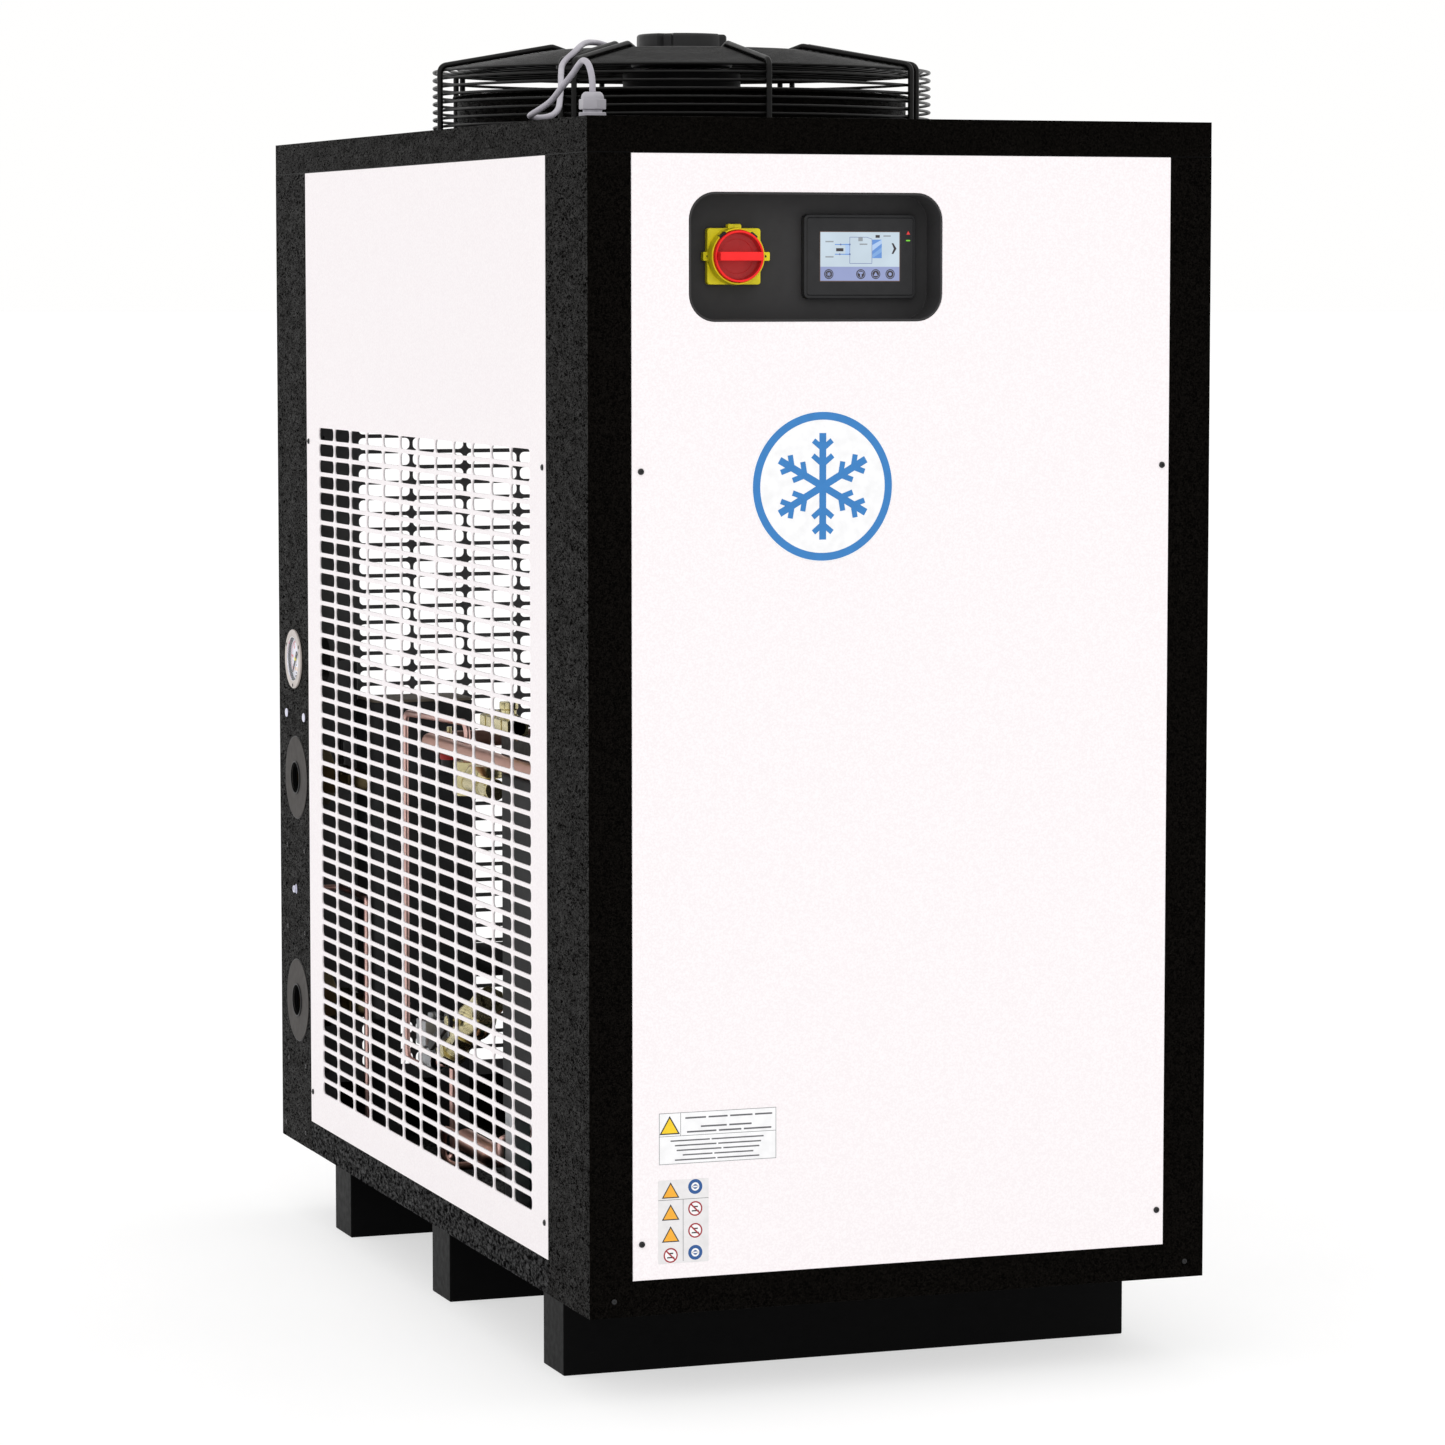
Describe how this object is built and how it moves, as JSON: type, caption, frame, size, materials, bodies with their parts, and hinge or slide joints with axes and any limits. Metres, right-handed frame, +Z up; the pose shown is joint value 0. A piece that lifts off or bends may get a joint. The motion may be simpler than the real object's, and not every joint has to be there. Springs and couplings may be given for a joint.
{
  "type": "refrigerated air dryer",
  "caption": "Upright sheet-metal refrigerated air dryer with slotted grilles, a roof condenser fan under a wire guard, a recessed control panel and side air ports.",
  "frame": {"origin": "on the floor under the middle of the cabinet, on the underside of the middle floor beam", "axes": "+Z up, +Y from the control face towards the rear, +X to the right seen from the front, so the air ports open along -X"},
  "size_m": [0.7369, 1.322, 1.522],
  "materials": {
    "frame_black": "wrinkled powder coat",
    "foot_black": "powder coat",
    "panel_white": "fine orange-peel powder coat",
    "screw_black": "blackened steel",
    "plug_pale": "satin",
    "recess_grey": "matt powder coat",
    "switch_yellow": "moulded",
    "switch_red": "moulded",
    "steel": "turned",
    "plastic_black": "moulded",
    "screen_glass": "glossy screen",
    "lamp_green": "lamp",
    "zinc_sheet": "galvanised",
    "badge_blue": "printed film",
    "label_grey": "printed film",
    "gauge_cream": "satin",
    "dial_white": "printed dial",
    "needle_black": "satin",
    "clear_glass": "clear window",
    "copper": "drawn copper tube",
    "disc_grey": "satin",
    "brass": "machined",
    "fitting_pale": "moulded",
    "fan_black": "textured powder coat",
    "guard_black": "plastic-coated wire",
    "motor_grey": "painted die-casting",
    "gland_grey": "moulded nylon",
    "cable_grey": "satin sheath",
    "coil_aluminium": "bright fins",
    "compressor_green": "gloss paint",
    "foam_black": "closed-cell foam"
  },
  "bodies": {
    "cabinet": {"base_tray": "frame_black", "front_foot": "foot_black", "middle_foot": "foot_black", "rear_foot": "foot_black", "front_left_post": "frame_black", "front_right_post": "frame_black", "rear_left_post": "frame_black", "rear_right_post": "frame_black", "front_rail": "frame_black", "left_rail": "frame_black", "right_rail": "frame_black", "rear_rail": "frame_black", "roof_cap": "frame_black", "front_panel": "panel_white", "left_panel": "panel_white", "right_panel": "panel_white", "rear_panel": "panel_white", "panel_screws": "screw_black", "frame_screws": "screw_black", "blind_plugs": "plug_pale", "control_recess": "recess_grey", "switch_plate": "switch_yellow", "switch_body": "plastic_black", "screen_bezel": "plastic_black", "screen_glass": "screen_glass", "status_lamps": "lamp_green", "electrical_box": "zinc_sheet", "badge": "badge_blue", "labels": "label_grey", "gauge_case": "gauge_cream", "gauge_dial": "dial_white", "gauge_lens": "clear_glass", "port_bracket": "frame_black", "port_discs": "disc_grey", "air_inlet_socket": "brass", "air_outlet_socket": "brass", "drain_outlet": "fitting_pale", "fan_ring": "fan_black", "guard_side_wires": "guard_black", "guard_top_wires": "guard_black", "guard_arms": "guard_black", "fan_motor": "motor_grey", "motor_cap": "motor_grey", "cable_glands": "gland_grey", "fan_cable": "cable_grey", "cable_tie": "plastic_black", "condenser": "coil_aluminium", "compressor": "compressor_green", "exchanger_block": "foam_black", "separator": "foam_black", "air_pipes": "brass", "copper_pipes": "copper", "refrigerant_valves": "brass", "drain_valve": "brass", "drain_solenoid": "zinc_sheet"},
    "fan": {"fan_impeller": "fan_black"},
    "switch": {"switch_knob": "switch_red", "switch_shaft": "steel"},
    "needle": {"gauge_needle": "needle_black"},
    "lever": {"drain_lever": "plastic_black"}
  },
  "joints": [
    {"name": "fan_spin", "type": "hinge", "parent": "cabinet", "child": "fan", "pos_m": [0, 0.092, 1.443], "axis": [0, 0, 1], "continuous": true},
    {"name": "switch_turn", "type": "hinge", "parent": "cabinet", "child": "switch", "pos_m": [-0.188, -0.606, 1.2488], "axis": [0, 1, 0], "range_deg": [0, 90]},
    {"name": "needle_turn", "type": "hinge", "parent": "cabinet", "child": "needle", "pos_m": [-0.3645, 0.571, 0.733], "axis": [1, 0, 0], "range_deg": [0, 270], "stiffness_Nm_per_rad": 0.0002},
    {"name": "lever_turn", "type": "hinge", "parent": "cabinet", "child": "lever", "pos_m": [-0.3345, -0.01294, 0.33661], "axis": [1, 0, 0], "range_deg": [0, 90]}
  ]
}
